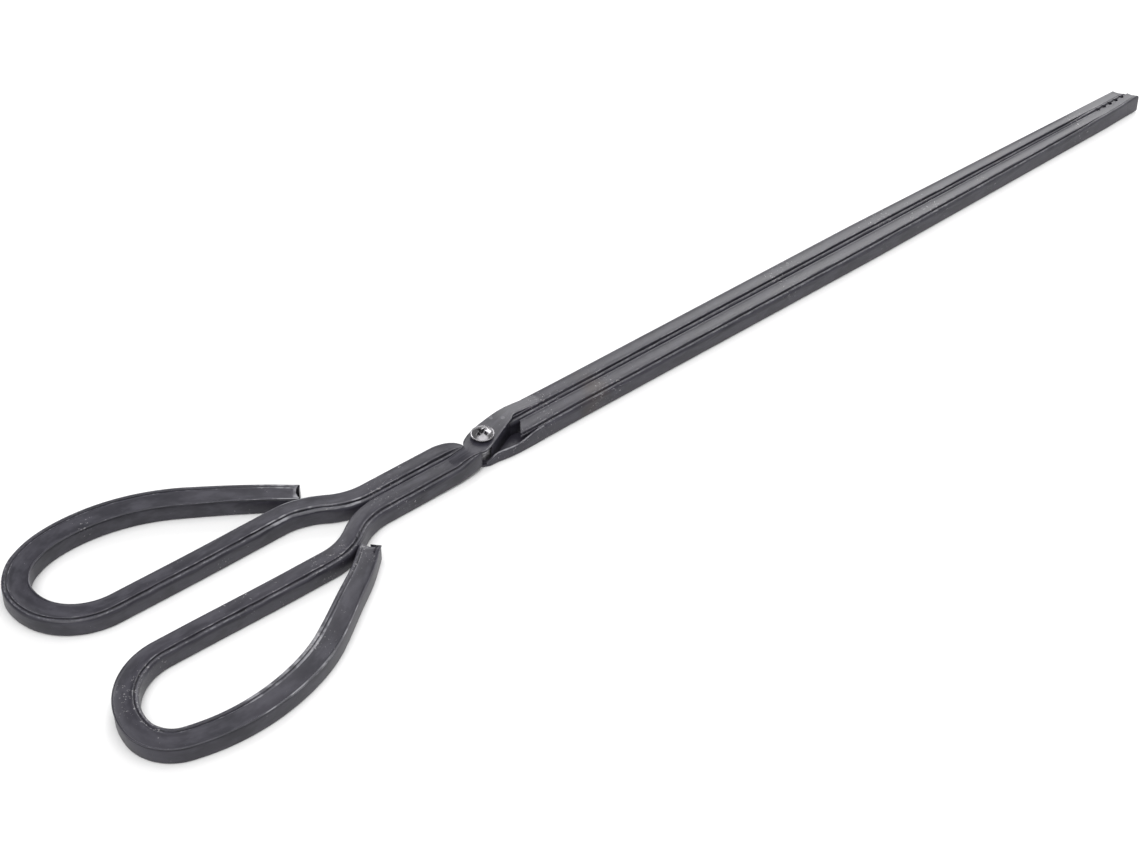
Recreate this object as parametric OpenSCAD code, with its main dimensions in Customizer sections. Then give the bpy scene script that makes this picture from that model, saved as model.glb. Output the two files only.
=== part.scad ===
// Scissor-action fire tongs: two folded sheet-steel arms crossing on one pivot screw.
// Millimetres. +X points to the jaw tips, +Y to the upper arm's jaw, +Z up along the pivot axis.
// Origin on the pivot axis, on the plane that the closed tongs rest on.

/* [Overall] */
// reach from the pivot axis to the jaw tips, at the seam
jaw_reach = 288; // [230:1:345]
// straight length of the grip run beside each finger loop
grip_run = 56; // [45:1:68]
// radius of the finger loop's back corner, on the centreline
loop_radius = 21; // [17:0.5:26]

/* [Arm section] */
// height of the folded arm section
arm_height = 6; // [5:0.1:8]
// width of the folded arm section along the stems and grip runs
arm_width = 6.4; // [5.2:0.1:7.6]
// sheet thickness
sheet = 0.8; // [0.6:0.05:1.1]
// gap between the two arms where they lie side by side
side_gap = 0.7; // [0.4:0.1:1.5]
// extra section width round the open side of the loops
loop_flare = 1.7; // [0:0.1:2.4]
// depth of the fold groove beside each edge
groove_depth = 0.3; // [0.1:0.05:0.5]

/* [Handles] */
// distance from the pivot axis to where the stems start to spread
stem_length = 40; // [32:1:50]
// length of the bend that spreads each handle
bend_run = 26; // [20:1:34]
// sideways offset of each grip run
grip_offset = 11.7; // [9.5:0.1:14]

/* [Jaws] */
// width of one jaw at its tip
tip_width = 4.1; // [3:0.1:6]
// share of the jaw that keeps its full width
full_share = 0.55; // [0.3:0.05:0.8]
// amount that the slanted end cut adds to the lower jaw and takes from the upper one
end_slant = 2.4; // [0:0.1:4]
// number of gripping notches along each tip
notch_count = 5; // [3:1:8]
// spacing of the gripping notches
notch_pitch = 3; // [2:0.1:4]

/* [Pivot] */
// diameter of the screw's shoulder
shoulder_d = 5; // [4:0.1:6]
// diameter of the screw's thread
thread_d = 4; // [3:0.1:4.5]
// diameter of the domed screw head
head_d = 7.5; // [6:0.1:9]
// height of the domed screw head
head_h = 2.1; // [1.4:0.1:3]
// width of each slot of the cross recess
cross_w = 1.1; // [0.7:0.05:1.6]
// radius of the upper lug that carries the pivot
lug_r = 5.4; // [4.8:0.1:7]
// extra radius of the lower lug
lug_extra = 0.7; // [0:0.1:1.5]
// height that the upper lug stands above the arms
lug_raise = 1.2; // [0.4:0.1:1.6]
// radial running clearance of the pivot
run_clear = 0.05; // [0.02:0.01:0.09]

/* [Hidden] */
eps = 0.01;
fine = 96;
half_w = arm_width / 2;
half_gap = side_gap / 2;
stem_y = half_gap + half_w;
jaw_out = half_gap + half_w * 1.93;
root_out = jaw_out + 0.4;
cheek_h = arm_height * 0.68;
// the upper lug's open edge runs from fold_x at the seam, past the screw, at fold_a
fold_x = 11.3;
fold_a = atan2(5.35, 13.1);
nut_clear = 1.5;
fold_foot = fold_x * cos(fold_a) + half_gap * sin(fold_a);
fold_near = fold_x * sin(fold_a) - half_gap * cos(fold_a) - sheet;
mid_x = jaw_reach * full_share;
tip_gap = 0.2;
lug_t = sheet;
inner_z = arm_height - 2 * sheet;
groove_in = sheet * 0.9;
groove_w = 0.5;
// pivot stack, from the resting plane upwards
upper_lug_z = arm_height - sheet;
upper_lug_t = sheet + lug_raise;
// room between the shoulder and the wall round the upper lug, shared by the nut and the bush
lug_room = lug_r - sheet - shoulder_d / 2;
nut_r = shoulder_d / 2 + lug_room * 2 / 3;
nut_top = lug_t + 2;
bush_r = shoulder_d / 2 + lug_room * 4 / 7;
seat_z = upper_lug_z + upper_lug_t + 0.05;
axial_gap = 0.05;
flange_len = fold_foot - sqrt(max(pow(nut_r + nut_clear, 2) - fold_near * fold_near, 0));
press = 0.01;
// spreading bend, two equal and opposite arcs
rise = grip_offset - stem_y;
bend_a = 2 * atan(rise / bend_run);
bend_r = bend_run / (2 * sin(bend_a));
bend_end = stem_length + bend_run;
bend_cy = grip_offset - bend_r;
// loop arcs
loop_x = bend_end + grip_run;
loop_cy = grip_offset + loop_radius;
loop_k = loop_radius / 21;
top_r = 58.65 * loop_k;
top_cx = -loop_x + 4.8 * loop_k;
top_cy = grip_offset - 23.7 * loop_k;
back_dx = loop_x + loop_radius + top_cx;
back_dy = loop_cy - top_cy;
corner_r = (top_r * top_r - back_dx * back_dx - back_dy * back_dy) / (2 * (top_r - back_dx));
corner_cx = -loop_x - loop_radius + corner_r;
corner_a = atan2(loop_cy - top_cy, corner_cx - top_cx);
run_a = 35;
top_ex = top_cx + top_r * sin(run_a);
top_ey = top_cy + top_r * cos(run_a);
wide_w = half_w + loop_flare / 2;
end_w = half_w + loop_flare * 0.08;
loop_gap = 0.45;
// the free end stops clear of the bend it tucks against
in_x = top_ex - end_w * sin(run_a);
in_y = top_ey - end_w * cos(run_a);
far_r = bend_r + half_w + loop_gap;
qx = in_x + bend_end;
qy = in_y - bend_cy;
qb = qx * cos(run_a) - qy * sin(run_a);
qc = qx * qx + qy * qy - far_r * far_r;
line_len = (in_y - grip_offset - half_w - loop_gap) / sin(run_a);
hits_bend = in_x + line_len * cos(run_a) > -bend_end;
free_len = hits_bend ? -qb - sqrt(max(qb * qb - qc, 0)) : line_len;

function arc(cx, cy, r, a0, a1, n, w0, w1) =
    [for (i = [1 : n]) [
        cx + r * cos(a0 + (a1 - a0) * i / n),
        cy + r * sin(a0 + (a1 - a0) * i / n),
        w0 + (w1 - w0) * i / n]];

// centreline of the handle with its half width, from the stem's root to the free end
function handle_path() = concat(
    [[-14, stem_y, half_w], [-stem_length, stem_y, half_w]],
    arc(-stem_length, stem_y + bend_r, bend_r, 270, 270 - bend_a, 7, half_w, half_w),
    arc(-bend_end, bend_cy, bend_r, 90 - bend_a, 90, 7, half_w, half_w),
    [[-loop_x, grip_offset, half_w]],
    arc(-loop_x, loop_cy, loop_radius, 270, 180, 16, half_w, wide_w),
    arc(corner_cx, loop_cy, corner_r, 180, corner_a, 12, wide_w, wide_w),
    arc(top_cx, top_cy, top_r, corner_a, 90 - run_a, 12, wide_w, wide_w),
    [[top_ex + free_len * cos(run_a), top_ey - free_len * sin(run_a), end_w]]);

path = handle_path();
last = len(path) - 1;

function heading(i) =
    let (a = path[max(i - 1, 0)], b = path[min(i + 1, last)])
    i == 0 ? 180 : i == last ? -run_a : atan2(b[1] - a[1], b[0] - a[0]);

function side(i, s, d) =
    let (h = heading(i), w = path[i][2] - d)
    [path[i][0] - s * w * sin(h), path[i][1] + s * w * cos(h)];

function past_end(s, d, more) =
    let (p = side(last, s, d))
    [p[0] + more * cos(run_a), p[1] - more * sin(run_a)];

module handle_2d(d, more) {
    left = [for (i = [0 : last]) side(i, 1, d)];
    right = [for (i = [last : -1 : 0]) side(i, -1, d)];
    polygon(concat(left, [past_end(1, d, more), past_end(-1, d, more)], right));
}

module nose_2d() {
    polygon([
        [-14 - eps, half_gap], [-6.9, half_gap], [-7.1, 3], [-8, 4.5],
        [-9.6, 5.6], [-11.6, stem_y + half_w - 0.35], [-14 - eps, stem_y + half_w]]);
}

// one jaw in plan, on the +Y side, inset by d all round
module jaw_2d(x0, d, more) {
    polygon([
        [x0, half_gap + d],
        [mid_x, half_gap + 0.1 + d],
        [jaw_reach + more, tip_gap + d],
        [jaw_reach + more, tip_gap + tip_width - d],
        [mid_x, jaw_out - d],
        [34, jaw_out + 0.2 - d],
        [16, root_out - d],
        [x0, root_out - d]]);
}

// outline of the fold groove of the jaw and of the handle
module groove_2d() {
    difference() {
        jaw_2d(16, groove_in, -1);
        jaw_2d(15, groove_in + groove_w, 2);
    }
    mirror([0, 1, 0])
        difference() {
            handle_2d(groove_in, 0);
            handle_2d(groove_in + groove_w, 2);
        }
}

// plan of the lug and of the bands that join it to the jaw and to the stem
module lug_2d(lr) {
    circle(r = lr, $fn = fine);
    polygon([
        [-2, lr * 0.92], [1.5, lr - 0.1], [5, root_out - 0.3], [9, root_out], [16, root_out],
        [16, half_gap], [fold_x, half_gap], [lr * 0.4, -lr * 0.6], [-lr * 0.5, 0]]);
    polygon([
        [lr * 0.2, -lr * 0.9], [-lr * 0.3, -lr * 0.93], [-9, -stem_y - half_w + 0.4],
        [-14, -stem_y - half_w], [-14, -half_gap], [-6.9, -half_gap], [-4, lr * 0.6]]);
}

// the wall that carries on past the cut edge of the other face and stops short of the stem
module cheek(lr) {
    linear_extrude(cheek_h)
        polygon([
            [14, root_out], [9, root_out], [5, root_out - 0.3], [1.5, lr - 0.1],
            [-2, lr * 0.92], [-2, lr * 0.92 - sheet], [1.4, lr - 0.1 - sheet],
            [5, root_out - 0.3 - sheet], [9, root_out - sheet], [14, root_out - sheet]]);
    translate([0, root_out, 0])
        rotate([90, 0, 0])
            linear_extrude(sheet)
                polygon([[7.4, 0], [7.4, cheek_h], [9, arm_height * 0.9], [10, arm_height], [14, arm_height], [14, 0]]);
}

// hollow, notched arm with its lug at the bottom: jaw on +Y, handle on -Y
module arm_blank(slant, lr) {
    difference() {
        union() {
            linear_extrude(arm_height)
                jaw_2d(10, 0, slant);
            mirror([0, 1, 0])
                linear_extrude(arm_height) {
                    handle_2d(0, 0);
                    nose_2d();
                }
            linear_extrude(lug_t)
                lug_2d(lr);
            cheek(lr);
        }
        translate([0, 0, sheet])
            linear_extrude(inner_z) {
                jaw_2d(9, sheet, 8);
                mirror([0, 1, 0])
                    handle_2d(sheet, 3);
            }
        // slanted cut edge of the face opposite the lug
        translate([0, 0, lug_t])
            linear_extrude(arm_height)
                polygon([
                    [5, -1], [13.4, -1], [13.4, 0.9], [9.6, root_out - sheet],
                    [5, root_out - sheet]]);
        // fold grooves on both faces
        for (z = [-1, arm_height - groove_depth])
            translate([0, 0, z])
                linear_extrude(z < 0 ? 1 + groove_depth : 1)
                    groove_2d();
        // hollow scoop in the end of the tip
        translate([jaw_reach + slant + 1.3, tip_gap + tip_width * 0.5, -1])
            cylinder(h = arm_height + 2, r = 2, $fn = fine);
        // gripping notches
        for (i = [0 : notch_count - 1])
            translate([jaw_reach - 4 - i * notch_pitch, -0.25, -1])
                cylinder(h = arm_height + 2, r = 1.15, $fn = fine);
    }
}

// upper arm: the blank turned over, so that its lug lies on top, thickened for the screw
module arm_upper() {
    color([0.2, 0.2, 0.21])
        difference() {
            union() {
                translate([0, 0, arm_height])
                    mirror([0, 0, 1])
                        arm_blank(-end_slant, lug_r);
                translate([0, 0, upper_lug_z])
                    linear_extrude(upper_lug_t) {
                        circle(r = lug_r, $fn = fine);
                        polygon([
                            [-2, lug_r * 0.92], [1.5, lug_r - 0.1], [5, root_out - 0.9],
                            [12, root_out - 0.9], [13.6, 2.2], [fold_x, half_gap],
                            [lug_r * 0.4, -lug_r * 0.6], [-9, -stem_y - half_w + 0.8],
                            [-9.6, -1.4], [-7.2, -half_gap], [-4, lug_r * 0.6]]);
                    }
                // short folded flange under the lug's open edge
                translate([fold_x, half_gap, 0])
                    rotate([0, 0, fold_a])
                        translate([-flange_len, 0, sheet + 0.5])
                            cube([flange_len - 0.2, sheet, arm_height - sheet - 0.6]);
            }
            // straight open edge of the lug
            translate([fold_x, half_gap, upper_lug_z - eps])
                rotate([0, 0, fold_a])
                    translate([-14.15, -8, 0])
                        cube([14.1, 8, upper_lug_t + 1]);
            translate([0, 0, -1])
                cylinder(h = arm_height + 4, r = shoulder_d / 2 + run_clear, $fn = fine);
        }
}

// lower arm: the same blank mirrored to the other side, lug flat on the resting plane
module arm_lower() {
    color([0.19, 0.19, 0.2])
        difference() {
            mirror([0, 1, 0])
                arm_blank(end_slant, lug_r + lug_extra);
            translate([0, 0, -1])
                cylinder(h = 3, r = shoulder_d / 2 + 0.3, $fn = fine);
        }
}

// domed screw with a cross recess, a shoulder that the upper arm turns on, and a thread
module pivot_screw() {
    color([0.62, 0.62, 0.64])
        difference() {
            union() {
                translate([0, 0, seat_z])
                    rotate_extrude($fn = fine)
                        polygon(concat(
                            [[0, 0], [head_d / 2, 0], [head_d / 2, 0.5]],
                            [for (a = [12 : 12 : 84])
                                [head_d / 2 * cos(a), 0.5 + (head_h - 0.5) * sin(a)]],
                            [[0, head_h]]));
                translate([0, 0, nut_top])
                    cylinder(h = seat_z - nut_top + eps, r = shoulder_d / 2, $fn = fine);
                cylinder(h = nut_top + eps, r = thread_d / 2 - press, $fn = fine);
            }
            for (a = [0, 90])
                rotate([0, 0, a + 12])
                    translate([-head_d * 0.31, -cross_w / 2, seat_z + head_h - 1.2])
                        cube([head_d * 0.62, cross_w, 3]);
        }
}

// plain bush round the shoulder that keeps the two lugs apart
module pivot_bush() {
    color([0.5, 0.5, 0.52])
        difference() {
            translate([0, 0, nut_top + axial_gap])
                cylinder(h = upper_lug_z - nut_top - 2 * axial_gap, r = bush_r, $fn = fine);
            translate([0, 0, nut_top - 1])
                cylinder(h = arm_height + 2, r = shoulder_d / 2 + run_clear, $fn = fine);
        }
}

// round nut pressed into the lower lug, flush underneath
module clinch_nut() {
    color([0.45, 0.45, 0.47])
        difference() {
            union() {
                translate([0, 0, lug_t])
                    cylinder(h = nut_top - lug_t, r = nut_r, $fn = fine);
                cylinder(h = lug_t + eps, r = shoulder_d / 2 + 0.3 - press, $fn = fine);
            }
            translate([0, 0, -1])
                cylinder(h = arm_height, r = thread_d / 2, $fn = fine);
        }
}

arm_upper();
arm_lower();
pivot_screw();
pivot_bush();
clinch_nut();
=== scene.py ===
# %% [markdown]
# Scissor-action fire tongs. Two folded sheet-steel arms cross on one domed screw. The imported model
# gives the true sizes and the moving bodies, and this scene gives each arm its folded look:
# the pressed lid, the open seam groove beside it, the overhanging hem, the worn paint, and the
# painted highlights on its rims and painted shade in its grooves.

import math
import bpy
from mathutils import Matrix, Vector


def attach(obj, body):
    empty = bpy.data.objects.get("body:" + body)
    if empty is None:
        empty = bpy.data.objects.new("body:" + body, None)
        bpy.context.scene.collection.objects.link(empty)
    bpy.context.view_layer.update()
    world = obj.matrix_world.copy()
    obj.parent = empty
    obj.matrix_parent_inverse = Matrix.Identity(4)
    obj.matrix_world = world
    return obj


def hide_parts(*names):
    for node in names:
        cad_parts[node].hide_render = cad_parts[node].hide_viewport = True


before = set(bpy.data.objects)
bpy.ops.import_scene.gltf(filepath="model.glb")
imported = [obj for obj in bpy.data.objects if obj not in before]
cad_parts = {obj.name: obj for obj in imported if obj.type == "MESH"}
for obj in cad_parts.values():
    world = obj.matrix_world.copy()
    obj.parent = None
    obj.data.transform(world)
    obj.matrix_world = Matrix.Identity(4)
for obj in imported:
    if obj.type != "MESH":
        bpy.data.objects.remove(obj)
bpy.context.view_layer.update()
MM = 0.001

# %% [markdown]
# The tongs lie flat and closed. The camera looks down over the left-hand grip towards the jaws,
# from about 0.8 m, with a lens long enough to keep the two arms nearly parallel.

# %% Camera
CAMERA_AT = Vector((-0.36261, -0.48049, 0.53690))
CAMERA_BACK = Vector((-0.47908, -0.58023, 0.65864))
camera_data = bpy.data.cameras.new("studio_camera")
camera_data.sensor_width = 36
camera_data.lens = 84.36
camera = bpy.data.objects.new("studio_camera", camera_data)
bpy.context.collection.objects.link(camera)
camera.location = CAMERA_AT
camera.rotation_mode = "QUATERNION"
camera.rotation_quaternion = (-CAMERA_BACK).to_track_quat("-Z", "Y")
bpy.context.scene.camera = camera
print("camera at", tuple(round(v, 3) for v in camera.location))

# %% [markdown]
# Soft studio light: a pale surround and four soft panels. The one beyond the jaws is mirrored in
# their top faces, the one over the near left lights the side walls, a small low one beyond the
# tips picks out the faces that look that way, and a wide one overhead fills in.

# %% Floor and lights
def studio_floor():
    bpy.ops.object.select_all(action="DESELECT")
    bpy.ops.mesh.primitive_plane_add(size=6, location=(0, 0, -0.0002))
    floor = bpy.context.object
    floor.name = "studio_floor"
    bpy.ops.object.transform_apply(location=True, rotation=True, scale=True)
    paper = bpy.data.materials.new("floor_paper")
    paper.use_nodes = True
    shader = paper.node_tree.nodes["Principled BSDF"]
    shader.inputs["Base Color"].default_value = (0.84, 0.84, 0.84, 1)
    shader.inputs["Roughness"].default_value = 0.9
    floor.data.materials.append(paper)
    return floor


def soft_panel(name, place, aim, size, watts):
    panel = bpy.data.lights.new(name, "AREA")
    panel.shape = "RECTANGLE"
    panel.size, panel.size_y = size
    panel.energy = watts
    lamp = bpy.data.objects.new(name, panel)
    bpy.context.collection.objects.link(lamp)
    lamp.location = place
    lamp.rotation_mode = "QUATERNION"
    lamp.rotation_quaternion = (Vector(aim) - Vector(place)).to_track_quat("-Z", "Y")
    return lamp


studio_floor()
world = bpy.data.worlds.new("studio_surround")
world.use_nodes = True
world.node_tree.nodes["Background"].inputs["Color"].default_value = (1, 1, 1, 1)
world.node_tree.nodes["Background"].inputs["Strength"].default_value = 0.38
bpy.context.scene.world = world
bpy.context.scene.view_settings.view_transform = "Standard"
soft_panel("panel_beyond", (1.02, 0.70, 0.72), (0.12, 0, 0), (0.8, 0.8), 12)
soft_panel("panel_near", (-0.9, -0.5, 1.0), (0, 0, 0), (0.9, 0.9), 10)
soft_panel("panel_low", (0.85, -0.12, 0.16), (-0.08, -0.03, 0), (0.5, 0.25), 2.5)
soft_panel("panel_top", (0.0, -0.15, 1.6), (0, 0, 0), (1.6, 1.6), 18)

# %% [markdown]
# Sizes of the folded arm, in millimetres. The strip is a box section 6 mm high and 6.4 mm wide on
# the stems, which spreads to 8.1 mm round the open side of each finger loop.

# %% Arm sizes
HEIGHT = 6.0                  # the strip's height
HALF = 3.2                    # half the strip's width on the stems
GAP = 0.35                    # from the middle plane to each stem
STEM_Y = GAP + HALF
STEM_LENGTH = 40.0
BEND_RUN = 26.0               # the bend that spreads the handles
GRIP_Y = 11.7                 # the straight run beside the loop
LOOP_X = 122.0                # where the loop's back starts to turn
LOOP_R = 21.0
WIDE = 4.05                   # half width round the open side of the loop
END_HALF = 3.336              # half width at the free end
RUN_ANGLE = 35.0              # slope of the outer run, in degrees
JAW_OUT = 6.526               # outer edge of a jaw before its taper
ROOT_OUT = JAW_OUT + 0.4
MID_X = 158.4                 # where the taper starts
TIP_X = 288.0                 # the jaws' mean length
SLANT_X = 288.1               # where both slanted ends meet the middle plane
UPPER_TIP, LOWER_TIP = 285.6, 290.4
print("stem centre", STEM_Y, "jaw root", ROOT_OUT)

# %% [markdown]
# The handle's centreline is straight along the stem, spreads through two equal arcs, runs straight
# beside the loop, turns round the loop's back, and comes forward on a long gentle arc that ends in
# a straight free end. Each station holds its place and its half width. The two handles were bent by
# hand, so each strays a little from the drawn line: a stray is a place, a reach and a push.

# %% Handle centreline
def arc_points(cx, cy, r, a0, a1, n, w0, w1):
    """n points on an arc from angle a0 to a1, in degrees, each with its half width."""
    points = []
    for i in range(1, n + 1):
        t = i / n
        a = math.radians(a0 + (a1 - a0) * t)
        points.append((cx + r * math.cos(a), cy + r * math.sin(a), w0 + (w1 - w0) * t))
    return points


def line_points(x0, y0, x1, y1, n, w0, w1):
    """n points on a straight line, each with its half width."""
    return [(x0 + (x1 - x0) * i / n, y0 + (y1 - y0) * i / n, w0 + (w1 - w0) * i / n)
            for i in range(1, n + 1)]


def handle_centreline(free_reach, strays):
    rise = GRIP_Y - STEM_Y
    bend_a = 2 * math.degrees(math.atan(rise / BEND_RUN))
    bend_r = BEND_RUN / (2 * math.sin(math.radians(bend_a)))
    bend_end = STEM_LENGTH + BEND_RUN
    # the long gentle arc, then the tight corner that joins it to the loop's back
    top_r, top_cx, top_cy = 58.65, -LOOP_X + 4.8, GRIP_Y - 23.7
    back_dx, back_dy = LOOP_X + LOOP_R + top_cx, GRIP_Y + LOOP_R - top_cy
    corner_r = (top_r ** 2 - back_dx ** 2 - back_dy ** 2) / (2 * (top_r - back_dx))
    corner_cx, corner_cy = -LOOP_X - LOOP_R + corner_r, GRIP_Y + LOOP_R
    corner_a = math.degrees(math.atan2(corner_cy - top_cy, corner_cx - top_cx))
    # the straight free run
    ex = top_cx + top_r * math.sin(math.radians(RUN_ANGLE))
    ey = top_cy + top_r * math.cos(math.radians(RUN_ANGLE))
    fx = ex + free_reach * math.cos(math.radians(RUN_ANGLE))
    fy = ey - free_reach * math.sin(math.radians(RUN_ANGLE))
    p = [(-14.0, STEM_Y, HALF)]
    p += line_points(-14, STEM_Y, -STEM_LENGTH, STEM_Y, 8, HALF, HALF)
    p += arc_points(-STEM_LENGTH, STEM_Y + bend_r, bend_r, 270, 270 - bend_a, 14, HALF, HALF)
    p += arc_points(-bend_end, GRIP_Y - bend_r, bend_r, 90 - bend_a, 90, 14, HALF, HALF)
    p += line_points(-bend_end, GRIP_Y, -LOOP_X, GRIP_Y, 18, HALF, HALF)
    p += arc_points(-LOOP_X, GRIP_Y + LOOP_R, LOOP_R, 270, 180, 36, HALF, WIDE)
    p += arc_points(corner_cx, corner_cy, corner_r, 180, corner_a, 26, WIDE, WIDE)
    p += arc_points(top_cx, top_cy, top_r, corner_a, 90 - RUN_ANGLE, 36, WIDE, WIDE)
    p += line_points(ex, ey, fx, fy, 14, WIDE, END_HALF)
    bent = []
    for x, y, w in p:
        dx = dy = 0.0
        for px, py, spread, push_x, push_y in strays:
            near = math.exp(-((x - px) ** 2 + (y - py) ** 2) / (2 * spread ** 2))
            dx, dy = dx + push_x * near, dy + push_y * near
        bent.append((x + dx, y + dy, w))
    return bent


LOWER_STRAYS = [(-141, 42, 8, 2.0, -1.4), (-145, 30, 8, 0.9, 0.0), (-98, 45, 14, 0.0, 0.2),
                (-85, 12, 22, 0.0, -0.35), (-72, 31, 13, 0.4, 0.6), (-56, 17, 4, 0.3, -0.8)]
UPPER_STRAYS = [(-78, 35, 15, 0.8, 1.2), (-85, 12, 22, 0.0, 0.3), (-60, 22, 7, 0.6, 0.8)]
lower_line = handle_centreline(33.4, LOWER_STRAYS)
upper_line = handle_centreline(36.9, UPPER_STRAYS)
free_ends = [[round(v, 1) for v in line[-1]] for line in (lower_line, upper_line)]
print("stations", len(lower_line), "free ends at", free_ends)

# %% [markdown]
# The folded section, as seen from the end. On the seam side (S) the lid stops short and leaves a
# groove before the rounded shoulder of the channel. On the other side (H) the lid is hemmed and
# overhangs the wall a little, and C is the middle of the lid. Each row gives a side, the distance
# in from that side, the height, the height it takes where the strip is pressed flat and shut, how
# much it wears and takes a painted highlight on rims and shoulders, and how much painted shade it
# takes in the groove and under the hem.

# %% Section rows
# The fifth column is wear and painted highlight, lighter on rims and shoulders; the sixth is painted
# shade, darker in the groove and under the hem.
SECTION = [
    ("S", 0.60, 0.00, 0.00, 0.3, 0), ("S", 0.18, 0.14, 0.14, 0.3, 0),
    ("S", 0.00, 0.55, 0.50, 0, 0), ("S", 0.00, 2.60, 2.60, 0, 0),
    ("S", 0.00, 3.90, 5.00, 0, 0), ("S", 0.04, 4.40, 5.40, 0, 0),
    ("S", 0.16, 4.82, 5.70, 0.1, 0), ("S", 0.36, 5.12, 5.86, 0.3, 0),
    ("S", 0.62, 5.32, 5.94, 0.7, 0), ("S", 0.92, 5.42, 5.96, 0.6, 0),
    ("S", 1.18, 5.40, 5.96, 0.4, 0.1), ("S", 1.30, 5.16, 5.96, 0, 0.8),
    ("S", 1.38, 5.08, 5.96, 0, 1), ("S", 1.50, 5.08, 5.96, 0, 1),
    ("S", 1.58, 5.16, 5.96, 0, 0.8), ("S", 1.62, 5.66, 5.96, 0.1, 0.2),
    ("S", 1.70, 5.90, 5.97, 0.7, 0), ("S", 1.90, 5.98, 5.97, 0.7, 0),
    ("S", 2.16, 5.95, 5.96, 0.3, 0), ("S", 2.50, 5.84, 5.95, 0, 0),
    ("C", 0.00, 5.78, 5.93, 0, 0), ("H", 1.15, 5.80, 5.94, 0, 0),
    ("H", 0.66, 5.90, 5.96, 0, 0), ("H", 0.38, 5.98, 5.97, 0.2, 0),
    ("H", 0.16, 5.97, 5.96, 0.6, 0), ("H", 0.04, 5.88, 5.90, 0.5, 0),
    ("H", 0.00, 5.70, 5.76, 0, 0), ("H", 0.06, 5.56, 5.60, 0, 0.7),
    ("H", 0.50, 5.48, 5.52, 0, 1), ("H", 0.54, 4.96, 5.40, 0, 1),
    ("H", 0.32, 4.80, 5.20, 0.3, 0.3), ("H", 0.22, 4.45, 4.90, 0.1, 0),
    ("H", 0.20, 2.60, 2.60, 0, 0), ("H", 0.20, 0.50, 0.50, 0, 0),
    ("H", 0.32, 0.12, 0.12, 0.4, 0), ("H", 0.70, 0.00, 0.00, 0.2, 0),
]
ROWS = len(SECTION)
MARKS = [(wear_and_highlight, painted_shade) for side, inset, z, z_flat, wear_and_highlight, painted_shade in SECTION]
print("section rows", ROWS)

# %% [markdown]
# A folded strip is never quite even, so the groove and the shoulder wander a little. Each point of
# the section is set between the two edges of the strip: a narrow strip squeezes it, a spread strip
# lets the lid sag, and pressing closes the groove.

# %% Section points
FULL_WIDTH = 6.2              # a narrower strip squeezes its section
LID_MIDDLE = 0.56             # how far across the middle row of the lid lies
LID_SAG = 0.30                # of the lid where the strip is 1.7 mm wider than on the stem
SEAM_WANDER, SHOULDER_WANDER = 0.10, 0.06


def uneven(x, y, k):
    """A small smooth wander, between -1 and 1, that differs from place to place."""
    return 0.5 * (math.sin(0.83 * x + 0.71 * y + 1.7 * k) + math.sin(0.31 * x - 0.44 * y + 2.9 * k))


def section_point(row, seam, hem, press, low=0.0, high=0.0):
    """One point of the section between the seam edge and the hem edge, both (x, y) in millimetres.
    low and high lift its underside and its top."""
    side, inset, z, z_flat = SECTION[row][:4]
    across = hem - seam
    width = across.length
    across = across / width
    fit = min(1.0, width / FULL_WIDTH)
    slack = 1 - press
    if side == "S" and 0.8 < inset < 2.0:
        inset += SEAM_WANDER * slack * uneven(seam.x, seam.y, 1 if inset < 1.6 else 2)
    if inset < 1.2 and 4.8 < z < 5.6:
        z += SHOULDER_WANDER * slack * uneven(seam.x, seam.y, 3)
    if side == "S":
        p = seam + across * inset * fit
    elif side == "H":
        p = hem - across * inset * fit
    else:
        p = seam + across * (width * LID_MIDDLE)
    on_lid = side == "C" or inset > 0.6 and z > 5.7
    sag = LID_SAG * max(0.0, width - 2 * HALF) / 1.7 if on_lid else 0.0
    z = z + (z_flat - z) * press - sag
    return (p.x, p.y, z + low * (1 - z / HEIGHT) + high * z / HEIGHT)


def strip_columns(edges):
    """edges is a list of (seam edge, hem edge, press, low, high), each edge an (x, y) in mm."""
    return [[section_point(r, Vector(e[0]), Vector(e[1]), *e[2:]) for r in range(ROWS)]
            for e in edges]


print("the seam wanders by up to", SEAM_WANDER, "mm")

# %% [markdown]
# Edit mode works on what is selected, as it does by hand, so the first helpers pick one object or
# some of its faces. The last one closes off a piece: doubles are merged, faces turned outwards, and
# all but the sharp edges smoothed.

# %% Selecting and finishing
def only(obj):
    bpy.ops.object.select_all(action="DESELECT")
    obj.select_set(True)
    bpy.context.view_layer.objects.active = obj


def select_faces(obj, wanted):
    """Selects the faces for which wanted(face) is true, in face mode."""
    only(obj)
    bpy.ops.object.mode_set(mode="EDIT")
    bpy.ops.mesh.select_mode(type="FACE")
    bpy.ops.mesh.select_all(action="DESELECT")
    bpy.ops.object.mode_set(mode="OBJECT")
    for face in obj.data.polygons:
        face.select = bool(wanted(face))
    bpy.ops.object.mode_set(mode="EDIT")


def finish_mesh(obj, angle=32):
    """Merges doubles, turns faces outwards and smooths all but the sharp edges."""
    only(obj)
    bpy.ops.object.mode_set(mode="EDIT")
    bpy.ops.mesh.select_all(action="SELECT")
    bpy.ops.mesh.remove_doubles(threshold=0.000004)
    bpy.ops.mesh.normals_make_consistent(inside=False)
    bpy.ops.object.mode_set(mode="OBJECT")
    bpy.ops.object.shade_smooth_by_angle(angle=math.radians(angle))
    bpy.ops.object.transform_apply(location=True, rotation=True, scale=True)
    return obj


print("selecting and finishing helpers ready")

# %% [markdown]
# The strip is built like a long lampshade: a grid primitive has one column per station and one row
# per section point. Its points are set out round the path, the first and last rows meet along the
# bottom and are merged, and the ends are filled. The strip also keeps how much each point wears and
# takes a painted highlight, how much painted shade it takes, and how far along and round the strip
# it lies, which the paint reads later.

# %% Strip builder
ROUND_STEP = 0.35             # how far apart the paint's grain sets two rows, in millimetres


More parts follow.
